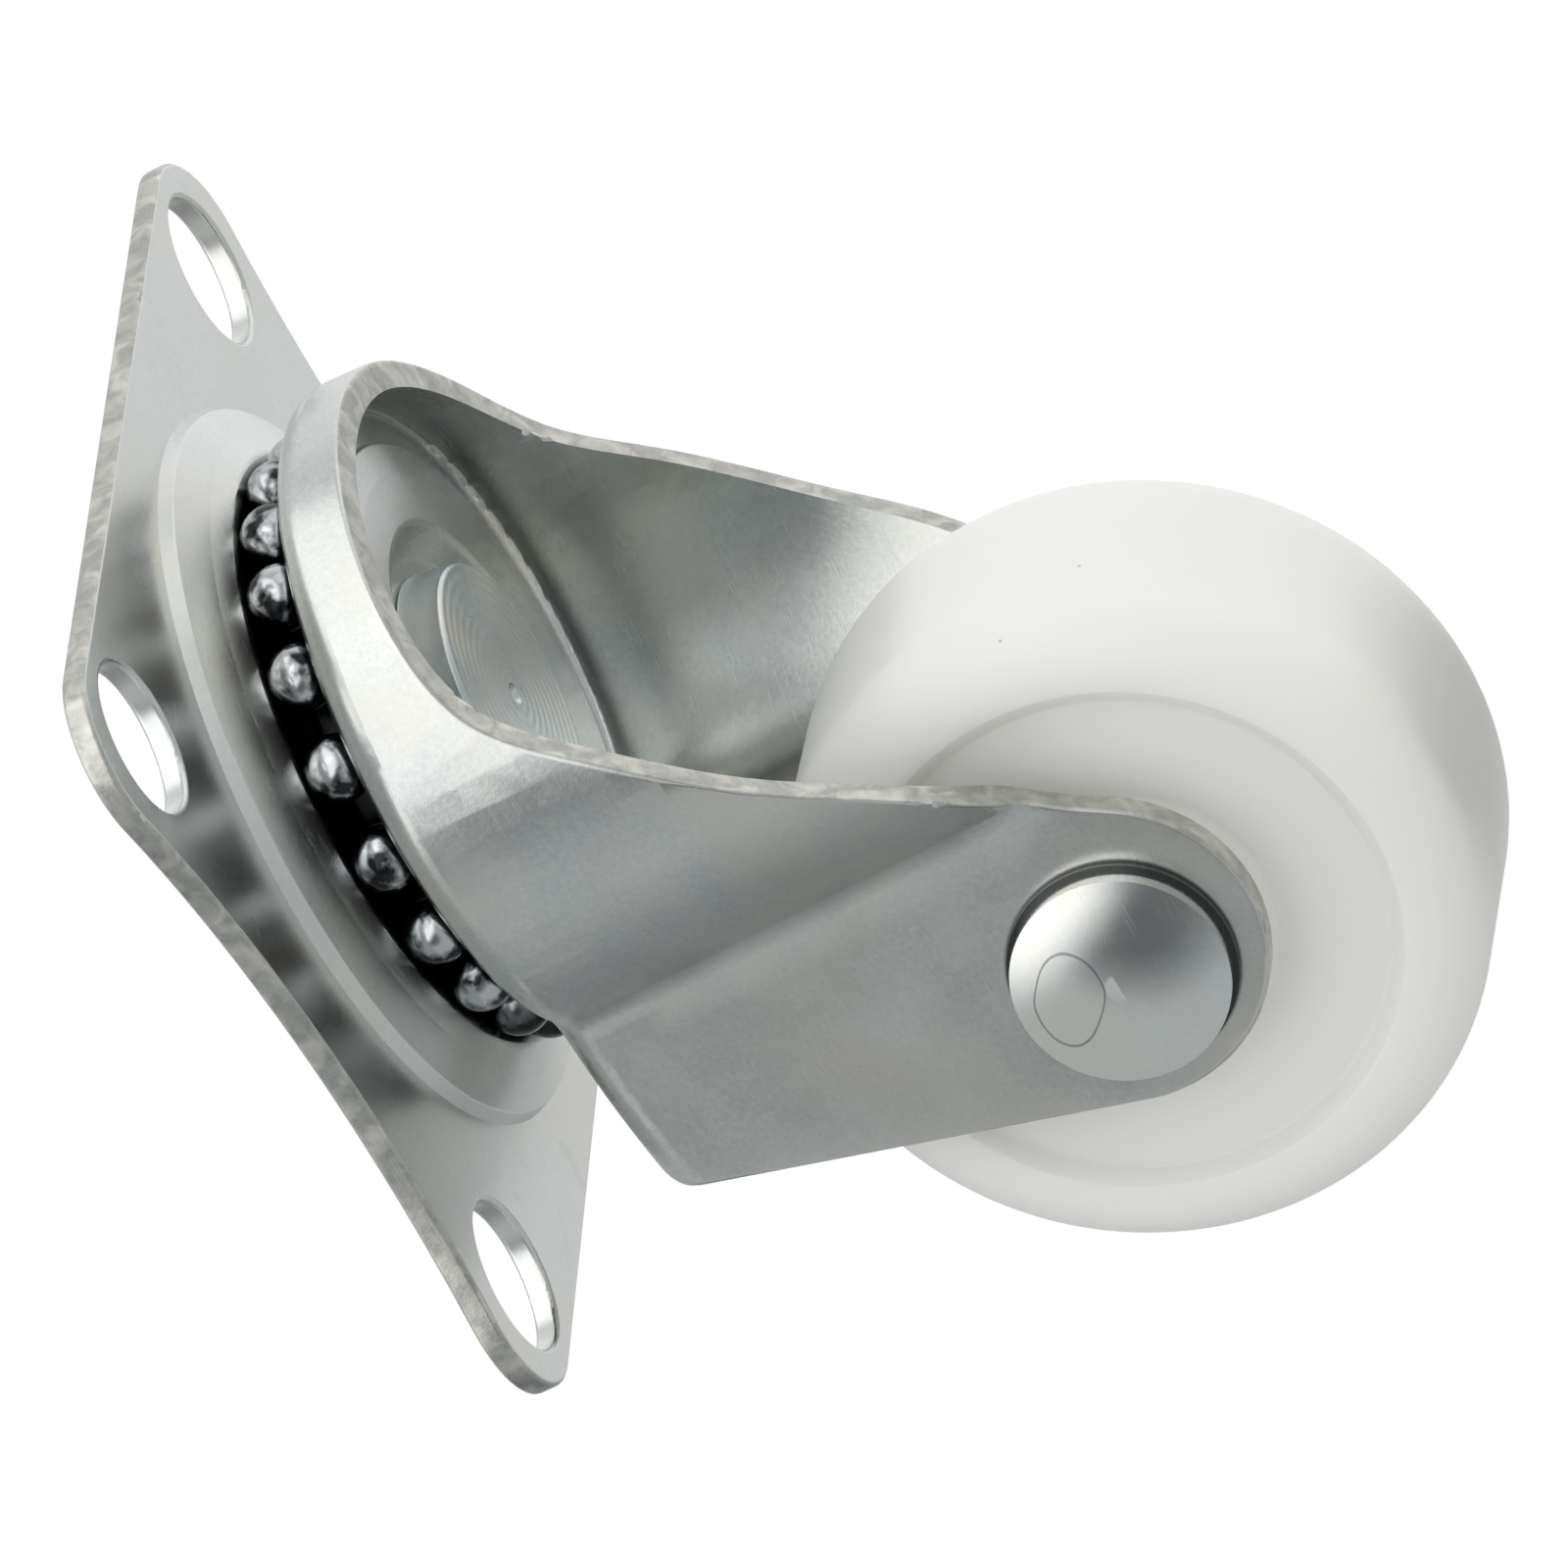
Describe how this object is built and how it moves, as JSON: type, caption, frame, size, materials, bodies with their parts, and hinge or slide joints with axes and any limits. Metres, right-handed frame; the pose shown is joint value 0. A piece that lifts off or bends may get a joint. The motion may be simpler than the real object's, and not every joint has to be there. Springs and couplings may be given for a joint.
{
  "type": "swivel caster",
  "caption": "Light swivel caster with a four-hole top plate, a double ball race, a drawn steel fork and a white plastic wheel on a riveted axle.",
  "frame": {"origin": "middle of the four mounting holes, on the top plate's upper face", "axes": "+Z out of the plate's upper face, away from the wheel; X along the 40 mm hole spacing; Y along the 50 mm hole spacing. At rest the wheel trails towards +X, turned 6.2 degrees about Z as in the picture."},
  "size_m": [0.0713, 0.064, 0.0581],
  "materials": {
    "zinc_plated_plate": "bright zinc plate on pressed steel",
    "zinc_plated_fork": "bright zinc plate on deep drawn steel",
    "zinc_plated_rivet": "blue-tinted zinc plate on a formed rivet",
    "steel_sleeve": "drawn tube, bare",
    "bearing_balls": "polished balls in grease",
    "white_plastic": "moulded, semi-gloss"
  },
  "bodies": {
    "plate": {"top_plate": "zinc_plated_plate", "kingpin": "zinc_plated_rivet", "lower_race": "zinc_plated_fork"},
    "fork": {"fork": "zinc_plated_fork", "axle": "zinc_plated_rivet", "axle_sleeve": "steel_sleeve"},
    "wheel": {"wheel": "white_plastic"},
    "upper_balls": {"upper_ball_01": "bearing_balls", "upper_ball_02": "bearing_balls", "upper_ball_03": "bearing_balls", "upper_ball_04": "bearing_balls", "upper_ball_05": "bearing_balls", "upper_ball_06": "bearing_balls", "upper_ball_07": "bearing_balls", "upper_ball_08": "bearing_balls", "upper_ball_09": "bearing_balls", "upper_ball_10": "bearing_balls", "upper_ball_11": "bearing_balls", "upper_ball_12": "bearing_balls", "upper_ball_13": "bearing_balls", "upper_ball_14": "bearing_balls", "upper_ball_15": "bearing_balls", "upper_ball_16": "bearing_balls", "upper_ball_17": "bearing_balls", "upper_ball_18": "bearing_balls", "upper_ball_19": "bearing_balls", "upper_ball_20": "bearing_balls"},
    "lower_balls": {"lower_ball_01": "bearing_balls", "lower_ball_02": "bearing_balls", "lower_ball_03": "bearing_balls", "lower_ball_04": "bearing_balls", "lower_ball_05": "bearing_balls", "lower_ball_06": "bearing_balls", "lower_ball_07": "bearing_balls", "lower_ball_08": "bearing_balls", "lower_ball_09": "bearing_balls", "lower_ball_10": "bearing_balls", "lower_ball_11": "bearing_balls", "lower_ball_12": "bearing_balls", "lower_ball_13": "bearing_balls", "lower_ball_14": "bearing_balls", "lower_ball_15": "bearing_balls", "lower_ball_16": "bearing_balls", "lower_ball_17": "bearing_balls", "lower_ball_18": "bearing_balls", "lower_ball_19": "bearing_balls", "lower_ball_20": "bearing_balls", "lower_ball_21": "bearing_balls", "lower_ball_22": "bearing_balls", "lower_ball_23": "bearing_balls", "lower_ball_24": "bearing_balls"}
  },
  "joints": [
    {"name": "swivel", "type": "hinge", "parent": "plate", "child": "fork", "pos_m": [0, 0, 0], "axis": [0, 0, 1], "continuous": true},
    {"name": "wheel_spin", "type": "hinge", "parent": "fork", "child": "wheel", "pos_m": [0.02475, 0.00269, -0.03806], "axis": [-0.108, 0.9942, 0], "continuous": true},
    {"name": "upper_balls_roll", "type": "hinge", "parent": "plate", "child": "upper_balls", "pos_m": [0, 0, -0.0058], "axis": [0, 0, 1], "continuous": true},
    {"name": "lower_balls_roll", "type": "hinge", "parent": "plate", "child": "lower_balls", "pos_m": [0, 0, -0.0075], "axis": [0, 0, 1], "continuous": true}
  ],
  "couplings": [
    {"joint": "upper_balls_roll", "follows": "swivel", "ratio": 0.5},
    {"joint": "lower_balls_roll", "follows": "swivel", "ratio": 0.5}
  ]
}
